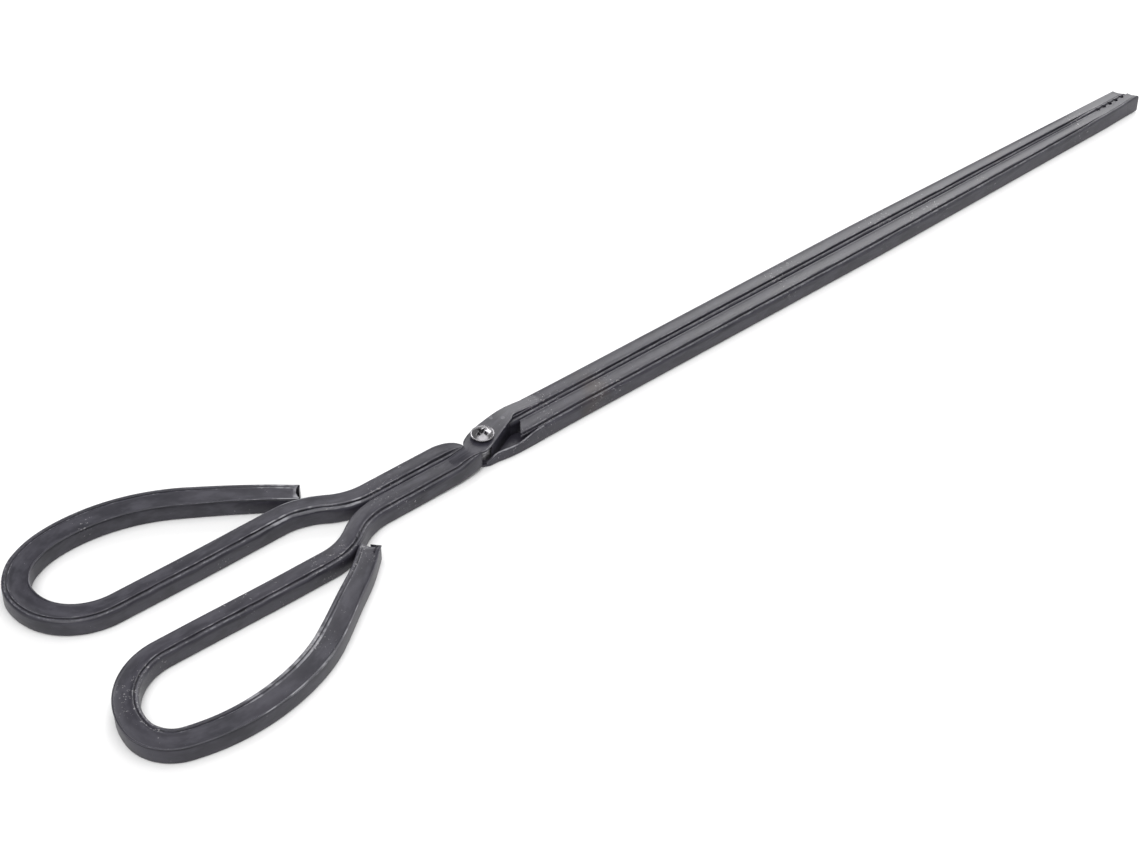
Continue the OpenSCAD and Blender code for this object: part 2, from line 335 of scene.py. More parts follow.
def lofted(name, columns, marks=None):
    """A closed tube through columns, each a list of (x, y, z) in millimetres. marks holds, for each
    place in a column, how much it wears and takes a painted highlight, and how much painted shade."""
    n, m = len(columns), len(columns[0])
    bpy.ops.object.select_all(action="DESELECT")
    bpy.ops.mesh.primitive_grid_add(x_subdivisions=n - 1, y_subdivisions=m, size=2)
    obj = bpy.context.object
    obj.name = name
    flat, wear_and_highlight, painted_shade, run = [], [], [], []
    along_path = [0.0]
    for before, after in zip(columns, columns[1:]):
        along_path.append(along_path[-1] + (Vector(after[m // 2]) - Vector(before[m // 2])).length)
    for v in obj.data.vertices:
        i = round((v.co.x + 1) / 2 * (n - 1))
        j = round((v.co.y + 1) / 2 * m) % m
        flat.extend(c * MM for c in columns[i][j])
        wear_and_highlight.append(marks[j][0] if marks else 0.0)
        painted_shade.append(marks[j][1] if marks else 0.0)
        run.extend((along_path[i] * MM, ROUND_STEP * j * MM, 0.0))
    obj.data.vertices.foreach_set("co", flat)
    obj.data.attributes.new("wear_and_highlight", "FLOAT", "POINT").data.foreach_set("value", wear_and_highlight)
    obj.data.attributes.new("painted_shade", "FLOAT", "POINT").data.foreach_set("value", painted_shade)
    obj.data.attributes.new("run", "FLOAT_VECTOR", "POINT").data.foreach_set("vector", run)
    obj.data.update()
    only(obj)
    bpy.ops.object.mode_set(mode="EDIT")
    bpy.ops.mesh.select_all(action="SELECT")
    bpy.ops.mesh.remove_doubles(threshold=0.000002)
    bpy.ops.mesh.select_all(action="DESELECT")
    bpy.ops.mesh.select_mode(type="EDGE")
    bpy.ops.mesh.select_non_manifold(extend=False, use_wire=False, use_boundary=True,
                                     use_multi_face=False, use_non_contiguous=False,
                                     use_verts=False)
    bpy.ops.mesh.fill_holes(sides=0)
    bpy.ops.mesh.select_all(action="SELECT")
    bpy.ops.mesh.normals_make_consistent(inside=False)
    bpy.ops.object.mode_set(mode="OBJECT")
    return obj


print("strip builder ready")

# %% [markdown]
# Use rubs the paint thin in places, and a press punches holes and trims ends. Lightening raises
# the mask of wear and painted highlight round a spot, which makes the paint lighter there. A punch
# is a solid taken away with a boolean modifier: a round one is a cylinder, and a block is a plan
# outline extruded upwards.

# %% Lightened spots, punches and blocks
LIGHTEN_ABOVE = 4.2               # only the top of the strip is lightened, above this height


def lighten_spot(obj, spot, reach, added, times):
    """Raises the wear and painted highlight on the top round a spot, and multiplies what is there.
    """
    lightened = obj.data.attributes["wear_and_highlight"].data
    for v in obj.data.vertices:
        near = 1 - (v.co.xy / MM - Vector(spot)).length / reach
        if near > 0 and v.co.z > LIGHTEN_ABOVE * MM:
            before = lightened[v.index].value
            lightened[v.index].value = before * (1 + times * near) + added * min(1.0, 2 * near)


def punch(obj, cutter):
    only(obj)
    cut = obj.modifiers.new("cut", "BOOLEAN")
    cut.operation = "DIFFERENCE"
    cut.solver = "EXACT"
    cut.object = cutter
    bpy.ops.object.modifier_apply(modifier=cut.name)
    bpy.data.objects.remove(cutter, do_unlink=True)


def round_punch(x, y, r, z0=-1.0, z1=8.0):
    bpy.ops.object.select_all(action="DESELECT")
    bpy.ops.mesh.primitive_cylinder_add(vertices=28, radius=r * MM, depth=(z1 - z0) * MM,
                                        location=(x * MM, y * MM, (z0 + z1) / 2 * MM))
    return bpy.context.object


def plan_block(points, z0, z1):
    """A prism over a plan outline: a filled circle primitive with its points set out, extruded."""
    bpy.ops.object.select_all(action="DESELECT")
    bpy.ops.mesh.primitive_circle_add(vertices=len(points), radius=MM, fill_type="NGON")
    obj = bpy.context.object
    for v, p in zip(obj.data.vertices, points):
        v.co = (p[0] * MM, p[1] * MM, z0 * MM)
    bpy.ops.object.mode_set(mode="EDIT")
    bpy.ops.mesh.select_all(action="SELECT")
    bpy.ops.mesh.extrude_region_move(TRANSFORM_OT_translate={"value": (0, 0, (z1 - z0) * MM)})
    bpy.ops.mesh.select_all(action="SELECT")
    bpy.ops.mesh.normals_make_consistent(inside=False)
    bpy.ops.object.mode_set(mode="OBJECT")
    return obj


print("punches ready")

# %% [markdown]
# By the pivot each handle narrows to a nose. The seam groove is pressed shut along the noses and
# along the outer run beyond the back of the loop, and partly shut, unevenly, from the bend back.
# The upper arm's stem comes down from the height of its lug, so its nose is lifted.

# %% Handle edges
# nose of the lower arm's handle: x, outer edge, how far the groove is pressed shut
LOWER_NOSE = [(-6.35, 1.7, 1), (-6.6, 2.5, 1), (-7.1, 3.4, 1), (-7.8, 4.3, 1),
              (-8.8, 5.1, 0.9), (-10.0, 5.75, 0.5), (-11.3, 6.2, 0.1), (-12.6, 6.55, 0)]
# nose of the upper arm's handle: x, seam edge, inner edge, press, lift below, lift on top
UPPER_NOSE = [(-4.25, -5.35, -3.0, 1, 1.5, 0.85), (-4.7, -5.62, -2.5, 1, 1.3, 0.85),
              (-5.3, -5.85, -1.7, 1, 1.15, 0.85), (-6.1, -6.05, -0.9, 0.95, 1.05, 0.85),
              (-7.2, -6.25, -0.45, 0.9, 0.95, 0.85), (-8.6, -6.42, -0.4, 0.85, 0.85, 0.8),
              (-10.2, -6.58, -0.36, 0.75, 0.7, 0.6), (-11.8, -6.68, -0.35, 0.65, 0.55, 0.3),
              (-13.0, -6.73, -0.35, 0.55, 0.42, 0.1)]
PAST_BACK = 110               # stations beyond this one are past the back of the loop


def seam_shut(i, x, y, sign):
    """How far the groove is pressed shut at station i of a handle's line."""
    if x < -110:
        shut = 0.85 * min(1.0, max(0.0, (y - 26) / 12))
    else:
        shut = 0.85 * (y > 30 or x > -100 and i > PAST_BACK)
    if x < -44:
        shut = max(shut, 0.3 + 0.2 * uneven(x, y, 5))
    if sign < 0 and x > -30:
        shut = max(shut, 0.5 * (1 - (-14 - x) / 16))
    return shut


def handle_edges(sign):
    """Edge pairs along a handle. sign is 1 for the handle on +Y and -1 for the one on -Y."""
    if sign > 0:
        line = lower_line
        edges = [((x, GAP), (x, y), press, 0.0, 0.0) for x, y, press in LOWER_NOSE]
    else:
        line = upper_line
        edges = [((x, y), (x, inner), press, low, high)
                 for x, y, inner, press, low, high in UPPER_NOSE]
    for i, (x, y, half) in enumerate(line):
        before, after = line[max(i - 1, 0)], line[min(i + 1, len(line) - 1)]
        d = (Vector(after[:2]) - Vector(before[:2])).normalized()
        left = Vector((-d.y, d.x))
        l, r = Vector((x, y)) + left * half, Vector((x, y)) - left * half
        shut = seam_shut(i, x, y, sign)
        if sign > 0:
            edges.append((tuple(l), tuple(r), shut, 0.0, 0.0))
        else:
            lift = max(0.0, 0.4 * (x + 30) / 16)
            edges.append(((r.x, -r.y), (l.x, -l.y), shut, lift, 0.0))
    return edges


print("nose stations", len(LOWER_NOSE), len(UPPER_NOSE))

# %% [markdown]
# Both handles are bent from the same strip. The seam groove runs on the same hand of both, so it
# lies inside the loop of the upper arm's handle and outside the loop of the lower arm's. Each free
# end is trimmed to a shallow hollow arc, and the folded sheet shows there as a worn rim.

# %% Handles
along = Vector((math.cos(math.radians(RUN_ANGLE)), -math.sin(math.radians(RUN_ANGLE))))
SCOOP_R = 4.6                 # of the arc that trims a free end
SCOOP_WALL, SCOOP_DEPTH = 1.1, 2.5
RIM_WEAR = 1.7


def open_scoop(obj, line, side):
    """Cuts the free end with a shallow arc, insets the curved cut and pushes its middle in."""
    run = Vector((along.x, side * along.y))
    centre = Vector((line[-1][0], side * line[-1][1])) + run * 3.6
    facing = math.degrees(math.atan2(-run.y, -run.x))
    turns = [math.radians(facing + 3.85 * k) for k in range(-10, 11)]
    arc = [(centre.x + SCOOP_R * math.cos(a), centre.y + SCOOP_R * math.sin(a)) for a in turns]
    punch(obj, plan_block(arc, -1.0, 8.0))

    def on_arc(face):
        inward = centre - face.center.xy / MM
        return abs(inward.length - SCOOP_R) < 0.12 and face.normal.xy.dot(inward.normalized()) > 0.9

    select_faces(obj, on_arc)
    bpy.ops.mesh.inset(thickness=SCOOP_WALL * MM, depth=0, use_boundary=True)
    push = (-run.x * SCOOP_DEPTH * MM, -run.y * SCOOP_DEPTH * MM, 0)
    bpy.ops.mesh.extrude_region_move(TRANSFORM_OT_translate={"value": push})
    bpy.ops.object.mode_set(mode="OBJECT")
    for face in obj.data.polygons:
        if on_arc(face):
            for v in face.vertices:
                obj.data.attributes["wear_and_highlight"].data[v].value = RIM_WEAR


lower_handle = lofted("lower_handle", strip_columns(handle_edges(1)), MARKS)
# Raises the mask of wear and painted highlight on the top round this spot.
lighten_spot(lower_handle, (-58, 8), 20, 0, 3)
open_scoop(lower_handle, lower_line, 1)
finish_mesh(lower_handle)
upper_handle = lofted("upper_handle", strip_columns(handle_edges(-1)), MARKS)
# Raises the mask of wear and painted highlight on the top round this spot.
lighten_spot(upper_handle, (-92, -45), 26, 0, 5)
open_scoop(upper_handle, upper_line, -1)
punch(upper_handle, round_punch(0, 0, 6.3, -1, 6.4))
finish_mesh(upper_handle)
print("handle faces", len(lower_handle.data.polygons), len(upper_handle.data.polygons))

# %% [markdown]
# Each jaw is a straight run of the same section. It tapers over its front half, the seam groove is
# pressed flat over the last stretch, and the end is cut on a slant, so the lower jaw is longer.

# %% Jaws
PRESS_X = 258                 # where the groove starts to be pressed flat


def ease(a, b, x):
    """0 at a, 1 at b, with a smooth start and end between them."""
    t = min(1.0, max(0.0, (x - a) / (b - a)))
    return t * t * (3 - 2 * t)


def jaw_half_widths(x):
    """Inner and outer distance of a jaw from the middle plane at x."""
    if x >= MID_X:
        t = (x - MID_X) / (TIP_X - MID_X)
        return GAP + 0.1 + (0.2 - GAP - 0.1) * t, JAW_OUT + (4.3 - JAW_OUT) * t
    inner = GAP + 0.1 * max(0.0, (x - 10) / (MID_X - 10))
    if x < 16:
        return inner, ROOT_OUT
    if x < 34:
        return inner, ROOT_OUT - 0.2 * (x - 16) / 18
    return inner, JAW_OUT + 0.2 * (MID_X - x) / (MID_X - 34)


def jaw_edges(sign, tip):
    """Edge pairs along a jaw. At the tip the seam and hem edges end at different x."""
    stops = [10, 13, 16, 20, 26, 34] + list(range(42, PRESS_X, 6))
    stops += [PRESS_X, 261, 264, 267, 270, 274, 279, 284, tip]
    edges = []
    for x in stops:
        inner, outer = jaw_half_widths(x)
        press = min(1.0, max(0.0, (x - PRESS_X) / 12))
        skew = (SLANT_X - tip) * max(0.0, (x - 279) / (tip - 279))
        if sign > 0:
            edges.append(((x + skew, inner), (x, outer), press))
        else:
            outer_y = -outer + 0.3 * ease(272, 288, x)
            lift = 0.5 * ease(276, 290, x)
            edges.append(((x, outer_y), (x + skew, -inner), press, 0.0, lift))
    return edges


upper_jaw = lofted("upper_jaw", strip_columns(jaw_edges(1, UPPER_TIP)), MARKS)
lower_jaw = lofted("lower_jaw", strip_columns(jaw_edges(-1, LOWER_TIP)), MARKS)
print("jaw faces", len(upper_jaw.data.polygons), len(lower_jaw.data.polygons))

# %% [markdown]
# Cuts are made as a punch would make them. A large round punch hollows each tip's end, and five
# small ones press shallow gripping notches into its top. Four blocks open the lower jaw's root:
# its hollow, the slant across its lid, the end below the lid, and the side that the cheek covers.

# %% Cuts in the jaws
NOTCHES, NOTCH_STEP, NOTCH_R = 5, 3, 0.75
ROOT_CUTS = [
    ([(5, -5.9), (14.6, -5.9), (14.6, -1.2), (5, -1.2)], 0.6, 5.1),
    ([(4, 1), (13.85, 1), (13.85, -0.9), (10.0, -5.95), (10.0, -9), (4, -9)], 4.4, 9),
    ([(4, 1), (13.85, 1), (13.85, -5.95), (4, -5.95)], 0.6, 5),
    ([(4, -5.92), (16.5, -5.92), (16.5, -9), (4, -9)], 0.3, 9),
]
for jaw, sign, tip, notch_y in ((upper_jaw, 1, UPPER_TIP, 0.05), (lower_jaw, -1, LOWER_TIP, -0.3)):
    middle = Vector(((tip + SLANT_X) / 2, sign * 2.25)) + Vector((0.87, 0.5)) * 4.6
    punch(jaw, round_punch(middle.x, middle.y, 5.1))
    for i in range(NOTCHES):
        punch(jaw, round_punch(285 - NOTCH_STEP * i, notch_y, NOTCH_R, 5.6, 8))
for outline, bottom, top in ROOT_CUTS:
    punch(lower_jaw, plan_block(outline, bottom, top))
finish_mesh(upper_jaw)
finish_mesh(lower_jaw)
print("cut jaws", len(upper_jaw.data.polygons), len(lower_jaw.data.polygons))

# %% [markdown]
# The upper lug is the flattened, doubled part of the upper arm that carries the screw. It starts
# level with the jaw, swells up round the screw and comes down again to the stem. Its two edges are
# listed as drawn on the sheet, from the stem to the jaw, and read at any place between.

# %% Upper lug outline
def on_line(stops, x):
    """Linear lookup in a list of (x, y), in rising x."""
    if x <= stops[0][0]:
        return stops[0][1]
    for (x0, y0), (x1, y1) in zip(stops, stops[1:]):
        if x <= x1:
            return y0 + (y1 - y0) * (x - x0) / (x1 - x0)
    return stops[-1][1]


NEAR_EDGE = [(-17, -5.0), (-14, -5.0), (-10, -5.05), (-7, -5.15), (-5, -5.4), (-3.9, -5.75),
             (-3.2, -5.85), (-1.7, -5.5), (0.5, -4.62), (9.2, -0.52), (10.6, 0.15), (11.6, 0.6),
             (12.4, 1.2), (13.2, 2.0), (14.2, 2.25), (30, 2.4)]
FAR_EDGE = [(-17, -0.45), (-7.5, -0.45), (-7.1, 0.1), (-6.7, 0.8), (-6.2, 1.5), (-5.2, 2.35),
            (-3.4, 3.32), (-1.6, 4.02), (0.7, 4.7), (3.2, 5.25), (6.0, 5.75), (8.6, 6.15),
            (11, 6.45), (14, 6.7), (30, 6.35)]


def lug_height(x):
    """Top of the lug, which swells by 1.53 mm round the screw."""
    rise = ease(30.0, 8.0, x) if x > 0 else ease(-17.0, -6.5, x)
    return 5.62 + 1.53 * rise


print("lug top at the screw", lug_height(0.0))

# %% [markdown]
# The plate is lofted across from side to side, with a soft raised middle and turned edges that wear
# and take a painted highlight. Two small spots beyond the screw are painted lighter as highlights
# where the plate rises, and the screw hole is punched.

# %% Upper lug plate
PLATE = 0.82                  # thickness of the doubled sheet
PLATE_STEP = 0.5


def upper_lug_columns():
    columns = []
    x = -17.0
    while x <= 30.01:
        near, far, top = on_line(NEAR_EDGE, x), on_line(FAR_EDGE, x), lug_height(x)
        w = far - near
        e = min(0.35, w * 0.2)
        low = top - PLATE
        ring = [(x, near + e, low), (x, near + 0.1 * e, low + 0.12), (x, near, low + 0.3),
                (x, near, top - 0.32), (x, near + 0.3 * e, top - 0.1), (x, near + e, top),
                (x, near + 2.2 * e, top - 0.04)]
        ring += [(x, near + w * k, top - 0.05) for k in (0.32, 0.42, 0.5, 0.58, 0.68)]
        ring += [(x, far - 2.2 * e, top - 0.04), (x, far - 1.0 * e, top),
                 (x, far - 0.3 * e, top - 0.1), (x, far, top - 0.32), (x, far, low + 0.3),
                 (x, far - 0.1 * e, low + 0.12), (x, far - e, low)]
        columns.append(ring)
        x += PLATE_STEP
    return columns


# The lug's turned edges take wear and a painted highlight, and its bottom edges take painted shade.
LUG_MARKS = [(0, 0.6), (0, 0.6), (0, 0), (0.2, 0), (0.9, 0), (0.5, 0), (0, 0)] + [(0, 0)] * 5
LUG_MARKS += [(0, 0), (0.5, 0), (0.9, 0), (0.2, 0), (0, 0), (0, 0.6), (0, 0.6)]
upper_lug = lofted("upper_lug", upper_lug_columns(), LUG_MARKS)
# Two painted highlights: lighter paint where the plate rises beyond the screw.
lighten_spot(upper_lug, (7.15, 4.9), 0.9, 1.5, 0)
lighten_spot(upper_lug, (10.05, 2.7), 0.9, 1.5, 0)
punch(upper_lug, round_punch(0, 0, 2.55))
finish_mesh(upper_lug, 40)
print("upper lug faces", len(upper_lug.data.polygons))

# %% [markdown]
# A round boss fills the step between the lug and the screw, and the far edge of the lug is folded
# down as a thin cheek. Such a thin wall follows a line in plan between two heights.

# %% Boss and far cheek
def hanging_wall(name, stops, thick, low, high):
    """A thin wall under the lug: stations along a plan line, outer face first, and two heights."""
    columns = []
    for i, (x, y) in enumerate(stops):
        a, b = Vector(stops[max(i - 1, 0)]), Vector(stops[min(i + 1, len(stops) - 1)])
        d = (b - a).normalized()
        n = Vector((-d.y, d.x)) * thick
        columns.append([(x, y, high), (x, y, low + 0.15),
                        (x + n.x * 0.2, y + n.y * 0.2, low), (x + n.x * 0.8, y + n.y * 0.8, low),
                        (x + n.x, y + n.y, low + 0.15), (x + n.x, y + n.y, high)])
    return finish_mesh(lofted(name, columns), 40)


bpy.ops.object.select_all(action="DESELECT")
bpy.ops.mesh.primitive_cylinder_add(vertices=64, radius=4.25 * MM, depth=1.3 * MM,
                                    location=(0, 0, 5.86 * MM))
upper_boss = bpy.context.object
upper_boss.name = "upper_boss"
punch(upper_boss, round_punch(0, 0, 2.55))
finish_mesh(upper_boss)
far_line = [(x, y - 0.1) for x, y in reversed(FAR_EDGE) if -2 < x < 12]
far_line = [(12.5, 6.45)] + far_line + [(-2.2, 3.72), (-2.9, 3.45)]
upper_cheek = hanging_wall("upper_cheek", far_line, 0.4, 2.3, 6.5)
print("boss faces", len(upper_boss.data.polygons), "cheek", len(upper_cheek.data.polygons))

# %% [markdown]
# Under the lug's open edge a short flange is folded down towards the lower arm.

# %% Upper flange
fold = Vector((0.905, 0.4254))
foot = Vector((fold.y, -fold.x)) * 4.33
near_line = [tuple(foot + fold * t) for t in (-2.0, 0.0, 2.0, 4.0, 6.0, 8.0, 9.6)]
upper_flange = hanging_wall("upper_flange", near_line, 0.36, 1.2, 6.6)
print("flange faces", len(upper_flange.data.polygons))

# %% [markdown]
# The lower lug is the flat floor of the lower arm under the screw. It is cut from sheet as one
# outline, extruded, punched for the nut and softened along its edges with a bevel.

# %% Lower lug
def round_lug(r, a0, a1, n):
    """n + 1 points round the pivot axis, from angle a0 to a1 in degrees."""
    turns = [math.radians(a0 + (a1 - a0) * i / n) for i in range(n + 1)]
    return [(r * math.cos(a), r * math.sin(a)) for a in turns]


floor_plan = [(16, -0.45), (16, -6.85), (9, -6.85), (5, -6.55), (1.5, -5.95)]
floor_plan += round_lug(6.05, 255, 175, 16)
floor_plan += [(-6.9, 0.6), (-14, 0.5), (-14, 6.6), (-9, 6.4), (-3, 5.4)]
floor_plan += round_lug(6.05, 100, 20, 12)
lower_lug = plan_block(floor_plan, 0.0, 0.8)
lower_lug.name = "lower_lug"
punch(lower_lug, round_punch(0, 0, 2.8))
only(lower_lug)
soften = lower_lug.modifiers.new("soften", "BEVEL")
soften.width, soften.segments, soften.limit_method = 0.18 * MM, 3, "ANGLE"
bpy.ops.object.modifier_apply(modifier=soften.name)
finish_mesh(lower_lug)
print("lower lug faces", len(lower_lug.data.polygons))

# %% [markdown]
# The lower arm's wall carries on from the jaw, drops to two thirds of the height, follows the lug
# round and stops before the stem. It is lofted along its line in plan with a top that steps down.

# %% Lower cheek
CHEEK_LINE = [(18.5, -6.88, 5.3), (17.0, -6.9, 5.28), (15.5, -6.92, 5.1), (14.0, -6.94, 4.8),
              (12.5, -6.95, 4.4), (11.0, -6.95, 3.95), (9.6, -6.93, 3.6), (8.2, -6.9, 3.5),
              (6.8, -6.82, 3.5), (5.4, -6.7, 3.55), (4.0, -6.5, 3.6), (2.6, -6.28, 3.6),
              (1.4, -6.08, 3.5), (0.4, -6.0, 3.2), (-0.6, -5.97, 2.75), (-1.3, -5.86, 2.3),
              (-2.0, -5.68, 1.8), (-2.7, -5.38, 1.35)]


def cheek_columns(line):
    """One ring for each station of the wall's line, which holds x, y and the height of its top."""
    columns = []
    for i, (x, y, top) in enumerate(line):
        a, b = line[max(i - 1, 0)], line[min(i + 1, len(line) - 1)]
        d = Vector((b[0] - a[0], b[1] - a[1])).normalized()
        n = Vector((d.y, -d.x))
        if n.y < 0:
            n = -n
        out, mid, inn = Vector((x, y)), Vector((x, y)) + n * 0.45, Vector((x, y)) + n * 0.9
        columns.append([
            (mid.x, mid.y, 0.02), (out.x + n.x * 0.1, out.y + n.y * 0.1, 0.1),
            (out.x, out.y, 0.45), (out.x, out.y, top - 0.5),
            (out.x + n.x * 0.1, out.y + n.y * 0.1, top - 0.16),
            (mid.x - n.x * 0.12, mid.y - n.y * 0.12, top),
            (mid.x + n.x * 0.15, mid.y + n.y * 0.15, top),
            (inn.x - n.x * 0.08, inn.y - n.y * 0.08, top - 0.15),
            (inn.x, inn.y, top - 0.5), (inn.x, inn.y, 0.4)])
    return columns


# The wall's top edge takes wear and a painted highlight.
CHEEK_MARKS = [(0, 0), (0.3, 0), (0, 0), (0, 0), (0.6, 0), (1, 0), (1, 0), (0.5, 0), (0, 0), (0, 0)]
lower_cheek = lofted("lower_cheek", cheek_columns(CHEEK_LINE), CHEEK_MARKS)
finish_mesh(lower_cheek, 40)
print("lower cheek faces", len(lower_cheek.data.polygons))

# %% [markdown]
# The screw head is a low dome with a thin turned rim. A lathe would turn it from a half profile.
# Here a grid primitive is wrapped round the axis from the same half profile, which closes the
# shape at once without a seam.

# %% Screw
def spun(name, profile, steps=72):
    """Wraps a half profile of (radius, z), in millimetres, round the pivot axis."""
    bpy.ops.object.select_all(action="DESELECT")
    bpy.ops.mesh.primitive_grid_add(x_subdivisions=len(profile) - 1, y_subdivisions=steps, size=2)
    obj = bpy.context.object
    obj.name = name
    n = len(profile)
    flat = []
    for v in obj.data.vertices:
        i = round((v.co.x + 1) / 2 * (n - 1))
        a = 2 * math.pi * round((v.co.y + 1) / 2 * steps) / steps
        r, z = profile[i]
        flat.extend((r * math.cos(a) * MM, r * math.sin(a) * MM, z * MM))
    obj.data.vertices.foreach_set("co", flat)
    return finish_mesh(obj, 35)


SEAT = 7.25                   # height of the face that the head sits on
dome = [(0, 0.0), (1.99, 0.0), (1.99, 2.8), (2.5, 2.8), (2.5, SEAT), (2.9, SEAT),
        (2.95, SEAT + 0.3), (3.1, SEAT + 0.5), (3.42, SEAT + 0.62), (3.58, SEAT + 0.72),
        (3.62, SEAT + 0.84), (3.56, SEAT + 0.98), (3.42, SEAT + 1.03), (3.24, SEAT + 0.98),
        (3.1, SEAT + 1.06), (2.8, SEAT + 1.3), (2.4, SEAT + 1.47), (1.9, SEAT + 1.65),
        (1.4, SEAT + 1.79), (0.9, SEAT + 1.88), (0.4, SEAT + 1.93), (0, SEAT + 1.94)]
screw = spun("screw_dome", dome)
print("turned screw faces", len(screw.data.polygons))

# %% [markdown]
# The cross recess is two slots at right angles, each cut with a block whose lower end is smaller,
# as a driver's tip is. A narrow bevel then breaks all sharp edges of the head.

# %% Cross recess
SLOT_LONG, SLOT_WIDE, SLOT_TALL = 5.0, 1.25, 2.2


def cross_cutter(turn):
    """One tapering slot of the cross recess, turned by so many degrees."""
    bpy.ops.object.select_all(action="DESELECT")
    bpy.ops.mesh.primitive_cube_add(size=1, location=(0, 0, (SEAT + 1.45) * MM))
    slot = bpy.context.object
    slot.scale = (SLOT_LONG * MM, SLOT_WIDE * MM, SLOT_TALL * MM)
    bpy.ops.object.transform_apply(location=True, rotation=True, scale=True)
    select_faces(slot, lambda f: f.normal.z < -0.5)
    bpy.ops.transform.resize(value=(0.5, 0.7, 1))
    bpy.ops.object.mode_set(mode="OBJECT")
    only(slot)
    slot.rotation_euler.z = math.radians(turn)
    bpy.ops.object.transform_apply(location=True, rotation=True, scale=True)
    return slot


for turn in (12, 102):
    punch(screw, cross_cutter(turn))
only(screw)
edge = screw.modifiers.new("edge", "BEVEL")
edge.width, edge.segments = 0.07 * MM, 2
edge.limit_method, edge.angle_limit = "ANGLE", math.radians(35)
bpy.ops.object.modifier_apply(modifier=edge.name)
finish_mesh(screw, 40)
print("screw faces", len(screw.data.polygons))

# %% [markdown]
# Every piece rides on the body of the arm it belongs to and takes the place of the plain solid.

# %% Bodies and replacements
UPPER = [upper_jaw, upper_handle, upper_lug, upper_boss, upper_cheek, upper_flange]
LOWER = [lower_jaw, lower_handle, lower_lug, lower_cheek]
for piece in UPPER:
    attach(piece, "upper")
    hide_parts("arm_upper")
for piece in LOWER:
    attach(piece, "lower")
    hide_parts("arm_lower")
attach(screw, "lower")
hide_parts("pivot_screw")
print("pieces", len(UPPER) + len(LOWER) + 1)

# %% [markdown]
# Shader maths reads best as plain expressions, so a small class wraps a socket and turns + - and *
# into Math nodes, with the number on either side.

# %% Shader values
class Value:
    def __init__(self, tree, socket):
        self.tree, self.socket = tree, socket

    def _math(self, kind, other, swap=False):
        node = self.tree.nodes.new("ShaderNodeMath")
        node.operation = kind
        first, second = (other, self) if swap else (self, other)
        for slot, item in zip(node.inputs, (first, second)):
            if isinstance(item, Value):
                self.tree.links.new(item.socket, slot)
            else:
                slot.default_value = item
        return Value(self.tree, node.outputs[0])

    def __add__(self, o):
        return self._math("ADD", o)

    def __radd__(self, o):
        return self._math("ADD", o, True)

    def __sub__(self, o):
        return self._math("SUBTRACT", o)

    def __rsub__(self, o):
        return self._math("SUBTRACT", o, True)

    def __mul__(self, o):
        return self._math("MULTIPLY", o)

    def __rmul__(self, o):
        return self._math("MULTIPLY", o, True)


print("shader values ready")

# %% [markdown]
# One method adds any other node: it takes the node's type, its settings and the values or links of
# its sockets. The few shorter ones only call it with the settings that these finishes share.

# %% Finish helper
class Finish:
    """A material with one Principled shader and a method that adds any node."""

    def __init__(self, name):
        self.material = bpy.data.materials.new(name)
        self.material.use_nodes = True
        self.tree = self.material.node_tree
        self.shader = self.tree.nodes["Principled BSDF"]
        self.place = self.node("ShaderNodeTexCoord", {}, {}, "Object")

    def node(self, kind, settings, inputs, output=0):
        made = self.tree.nodes.new(kind)
        for key, value in settings.items():
            setattr(made, key, value)
        self.plug(made, inputs)
        return Value(self.tree, made.outputs[output])

    def plug(self, node, inputs):
        for key, value in inputs.items():
            if isinstance(value, Value):
                self.tree.links.new(value.socket, node.inputs[key])
            else:
                node.inputs[key].default_value = value

    def noise(self, scale, detail=4.0, rough=0.55, where=None):
        return self.node("ShaderNodeTexNoise", {}, {"Vector": where or self.place, "Scale": scale,
                                                    "Detail": detail, "Roughness": rough}, "Fac")

    def ramp(self, value, low, high):
        """0 below low, 1 above high, and smooth between them."""
        return self.node("ShaderNodeMapRange", {"interpolation_type": "SMOOTHSTEP"},
                         {"Value": value, "From Min": low, "From Max": high})

    def blend(self, factor, first, second):
        """Mixes two colours: sockets 6 and 7 of a Mix node, whose colour comes out at 2."""
        first, second = [c if isinstance(c, Value) else (*c, 1) for c in (first, second)]
        return self.node("ShaderNodeMix", {"data_type": "RGBA"},
                         {0: factor, 6: first, 7: second}, 2)

    def stretched(self, sx, sy, sz, where=None):
        return self.node("ShaderNodeMapping", {}, {"Vector": where or self.place,
                                                   "Scale": (sx, sy, sz)})

    def mark(self, name, output="Fac"):
        """What the strip builder stored on the mesh under this name."""
        return self.node("ShaderNodeAttribute", {"attribute_name": name}, {}, output)

    def bump(self, height, strength, distance):
        return self.node("ShaderNodeBump", {}, {"Height": height, "Strength": strength,
                                                "Distance": distance})

    def set(self, **sockets):
        self.plug(self.shader, {key.replace("_", " "): value for key, value in sockets.items()})
        return self.material


print("finish helper ready")
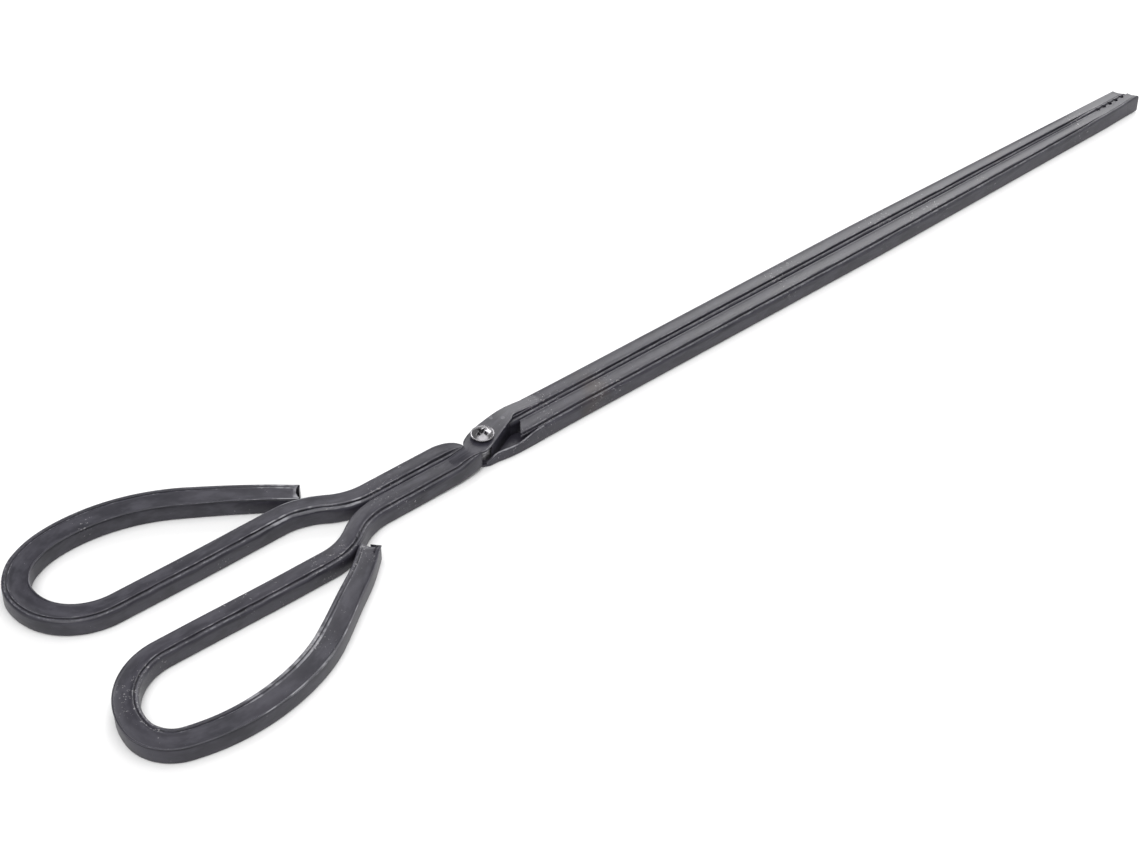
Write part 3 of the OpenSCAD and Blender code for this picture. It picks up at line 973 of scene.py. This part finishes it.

# %% [markdown]
# The arms are coated with a thin dark grey paint over rolled steel. The coat is a little cloudy and
# bluish, drawn out along the strip by the rolling, and speckled with tiny chips and dust. It is
# lightened in dashes along the raised rims and shoulders, partly rubbed to the steel and partly a
# painted highlight, darkened by painted shade in the groove and under the edges, and it has a few
# faint brown stains.

# %% Arm paint
def arm_paint(name):
    f = Finish(name)
    wear_and_highlight, painted_shade, run = f.mark("wear_and_highlight"), f.mark("painted_shade"), f.mark("run", "Vector")
    cloud = f.noise(55.0, 5.0, 0.6)
    grain = f.noise(1400.0, 3.0, 0.6, f.stretched(0.08, 1.0, 1.0, run))
    fine = f.noise(3200.0, 2.0, 0.5)
    broken = f.noise(700.0, 4.0, 0.7)
    patch = f.ramp(f.noise(70.0, 2.0, 0.5), 0.50, 0.66)
    chips = f.ramp(f.noise(1300.0, 3.0, 0.7) + patch * 0.09 + wear_and_highlight * 0.05 * patch, 0.71, 0.76)
    stain = f.ramp(f.noise(38.0, 3.0, 0.5), 0.64, 0.78)
    dashes = f.ramp(f.noise(240.0, 2.0, 0.5), 0.44, 0.60)
    rubbed_and_highlit = f.ramp(wear_and_highlight * 0.62 + broken * 0.55, 0.56, 0.92) * (0.25 + dashes * 0.75)
    coat = f.blend(f.ramp(cloud, 0.30, 0.72), (0.0125, 0.012, 0.0185), (0.0255, 0.0235, 0.033))
    coat = f.blend(f.ramp(grain, 0.38, 0.66) * 0.7, coat, (0.046, 0.044, 0.057))
    coat = f.blend(stain * 0.4, coat, (0.045, 0.029, 0.02))
    # Painted shade: the paint turns near-black in the groove, under the hem and under the lug's
    # edges.
    coat = f.blend(painted_shade * f.ramp(broken, 0.44, 0.60), coat, (0.006, 0.006, 0.007))
    # Painted highlight and wear: the paint turns light grey in dashes along rims and shoulders.
    coat = f.blend(rubbed_and_highlit * 0.75, coat, (0.26, 0.26, 0.28))
    coat = f.blend(chips * 0.7, coat, (0.30, 0.29, 0.30))
    rough = 0.24 + cloud * 0.14 + grain * 0.20 + painted_shade * 0.3 - rubbed_and_highlit * 0.05
    lumps = cloud * 0.4 + grain * 0.55 + fine * 0.14 + broken * 0.22
    return f.set(Base_Color=coat, Roughness=rough, Normal=f.bump(lumps, 0.25, 0.00025),
                 Metallic=0.0, Specular_IOR_Level=0.42)


paint = arm_paint("arm_paint_strip")
for piece in UPPER + LOWER:
    piece.data.materials.clear()
    piece.data.materials.append(paint)
print("paint on", len(UPPER) + len(LOWER), "pieces")

# %% [markdown]
# The screw is bright plated steel with fine turning marks and a few dull spots. The hidden bush
# and nut are plain steel.

# %% Steel finishes
def bright_steel(name, tint, rough_low, rough_more):
    f = Finish(name)
    cloud = f.noise(600.0, 4.0, 0.6)
    lines = f.noise(2600.0, 2.0, 0.5, f.stretched(1.0, 0.15, 1.0))
    spots = f.ramp(f.noise(1100.0, 2.0, 0.6), 0.62, 0.70)
    colour = f.blend(f.ramp(cloud, 0.3, 0.7), tint, tuple(c * 0.82 for c in tint))
    colour = f.blend(spots * 0.4, colour, (0.25, 0.25, 0.26))
    rough = rough_low + cloud * rough_more + lines * 0.08 + spots * 0.15
    return f.set(Base_Color=colour, Roughness=rough, Metallic=1.0,
                 Normal=f.bump(lines + cloud * 0.5, 0.12, 0.0001))


screw.data.materials.clear()
screw.data.materials.append(bright_steel("screw_plate", (0.25, 0.243, 0.255), 0.12, 0.14))
plain = bright_steel("plain_steel_parts", (0.52, 0.52, 0.54), 0.3, 0.2)
for node in ("pivot_bush", "clinch_nut"):
    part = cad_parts[node]
    part.data.materials.clear()
    part.data.materials.append(plain)
print("steel on", screw.name, "pivot_bush clinch_nut")
